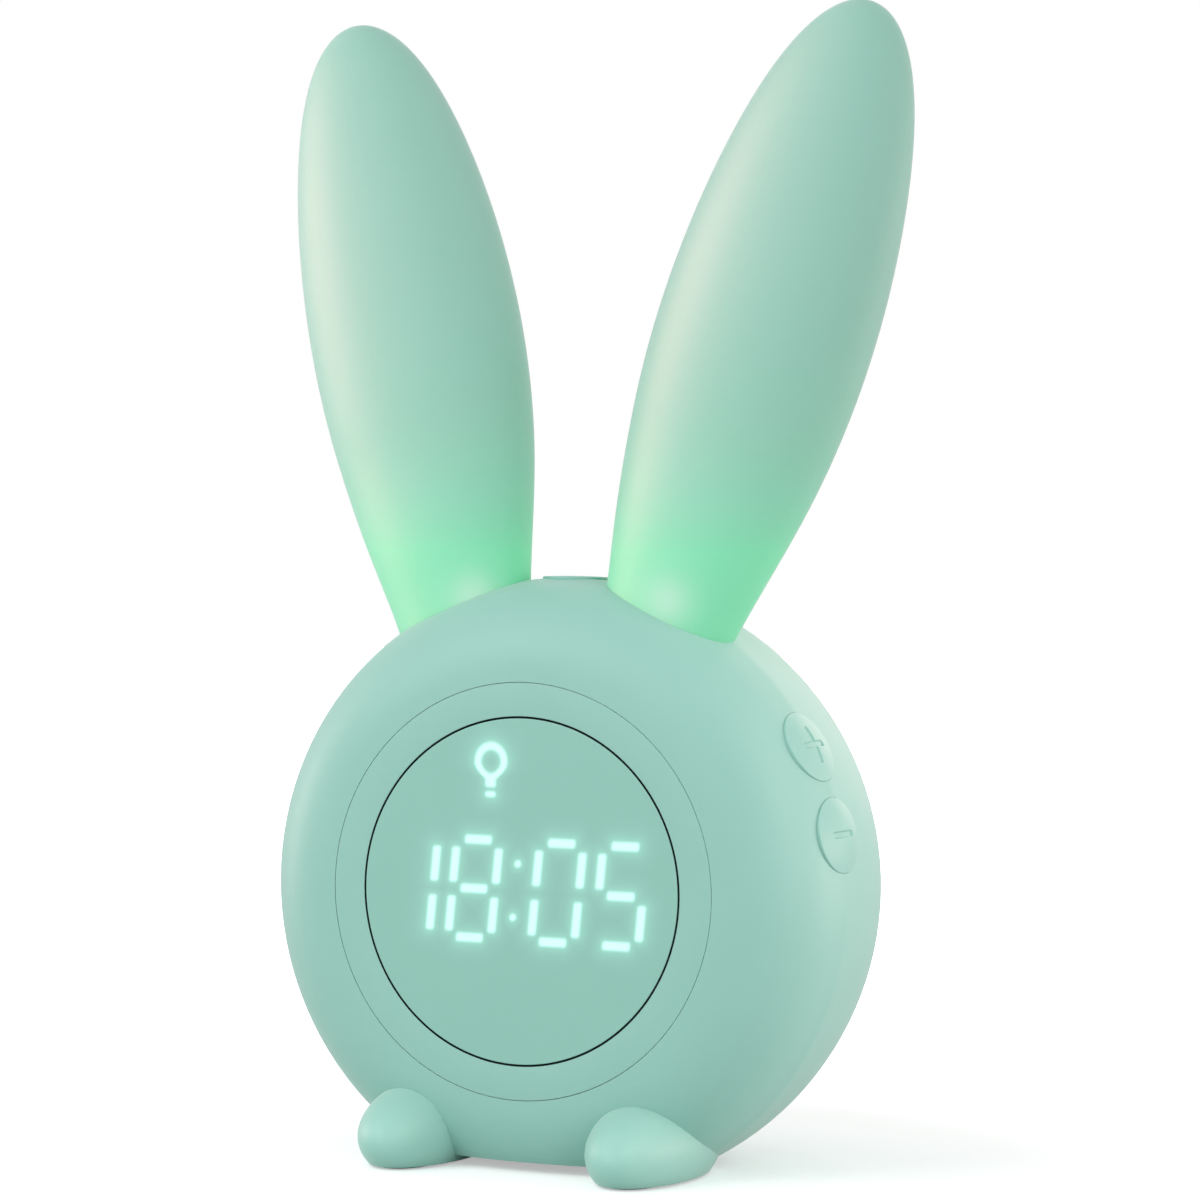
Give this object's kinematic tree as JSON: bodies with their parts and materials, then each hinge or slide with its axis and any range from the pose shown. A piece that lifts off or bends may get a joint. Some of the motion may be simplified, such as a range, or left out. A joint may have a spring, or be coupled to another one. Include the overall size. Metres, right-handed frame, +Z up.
{
  "type": "kids alarm clock with night light",
  "caption": "Round mint alarm clock on two small feet, with a lit digital face, press buttons, a speaker and two long soft ears that glow as a night light.",
  "frame": {"origin": "on the surface the clock stands on, under the body's widest circle, in its plane of symmetry", "axes": "+Z up; the display faces -Y; +X is to the right of someone who looks at the display"},
  "size_m": [0.1128, 0.0735, 0.1921],
  "materials": {
    "mint_abs": "soft-touch mint ABS",
    "lens_acrylic": "satin tinted acrylic",
    "black_foam": "matt black foam",
    "white_abs": "plain moulded",
    "lit_guide": "lit light guide",
    "dark_guide": "unlit light guide",
    "circuit_board": "solder mask",
    "led_chip": "clear resin",
    "ear_silicone": "translucent matt silicone",
    "chip_black": "moulded epoxy",
    "battery_wrap": "shrink sleeve",
    "speaker_steel": "black",
    "speaker_paper": "pressed cone",
    "magnet": "ferrite",
    "socket_steel": "nickel plated",
    "screw_steel": "zinc plated",
    "pad_rubber": "matt silicone",
    "button_silicone": "matt mint silicone",
    "switch_black": "moulded",
    "lead_pvc": "PVC sleeve"
  },
  "bodies": {
    "clock": {"alarm_switch": "switch_black", "alarm_switch_bracket": "white_abs", "base_pad": "pad_rubber", "battery_cell": "battery_wrap", "battery_cradle": "white_abs", "battery_lead": "lead_pvc", "board_chips": "chip_black", "board_connectors": "white_abs", "board_screws": "screw_steel", "body_shell": "mint_abs", "cover_screws": "screw_steel", "display_board": "circuit_board", "display_lead": "lead_pvc", "display_leds": "led_chip", "display_lens": "lens_acrylic", "display_screws": "screw_steel", "face_ring": "mint_abs", "foot_pads": "pad_rubber", "left_ear": "ear_silicone", "left_ear_clamp": "white_abs", "left_ear_lead": "lead_pvc", "left_ear_leds": "led_chip", "left_ear_light_board": "circuit_board", "left_foot": "mint_abs", "lens_gasket": "black_foam", "lit_segments": "lit_guide", "main_board": "circuit_board", "minus_switch": "switch_black", "minus_switch_bracket": "white_abs", "mode_switch": "switch_black", "mode_switch_bracket": "white_abs", "plus_switch": "switch_black", "plus_switch_bracket": "white_abs", "rear_cover": "mint_abs", "right_ear": "ear_silicone", "right_ear_clamp": "white_abs", "right_ear_lead": "lead_pvc", "right_ear_leds": "led_chip", "right_ear_light_board": "circuit_board", "right_foot": "mint_abs", "segment_mask": "white_abs", "speaker_cone": "speaker_paper", "speaker_frame": "speaker_steel", "speaker_lead": "lead_pvc", "speaker_magnet": "magnet", "top_switch": "switch_black", "top_switch_bracket": "white_abs", "unlit_segments": "dark_guide", "usb_board": "circuit_board", "usb_socket": "socket_steel"},
    "top_key": {"top_button": "button_silicone", "top_switch_plunger": "chip_black"},
    "plus_key": {"plus_button": "button_silicone", "plus_switch_plunger": "chip_black"},
    "minus_key": {"minus_button": "button_silicone", "minus_switch_plunger": "chip_black"},
    "mode_key": {"mode_button": "button_silicone", "mode_switch_plunger": "chip_black"},
    "alarm_key": {"alarm_button": "button_silicone", "alarm_switch_plunger": "chip_black"}
  },
  "joints": [
    {"name": "top_press", "type": "slide", "parent": "clock", "child": "top_key", "axis": [0, 0, -1], "range_m": [0, 0.0008], "stiffness_N_per_m": 1500},
    {"name": "plus_press", "type": "slide", "parent": "clock", "child": "plus_key", "axis": [-0.8679, 0.1239, -0.4811], "range_m": [0, 0.0008], "stiffness_N_per_m": 1500},
    {"name": "minus_press", "type": "slide", "parent": "clock", "child": "minus_key", "axis": [-0.9706, 0.1239, -0.2063], "range_m": [0, 0.0008], "stiffness_N_per_m": 1500},
    {"name": "mode_press", "type": "slide", "parent": "clock", "child": "mode_key", "axis": [0.8746, 0, -0.4848], "range_m": [0, 0.0008], "stiffness_N_per_m": 1500},
    {"name": "alarm_press", "type": "slide", "parent": "clock", "child": "alarm_key", "axis": [0.9781, 0, -0.2079], "range_m": [0, 0.0008], "stiffness_N_per_m": 1500}
  ]
}
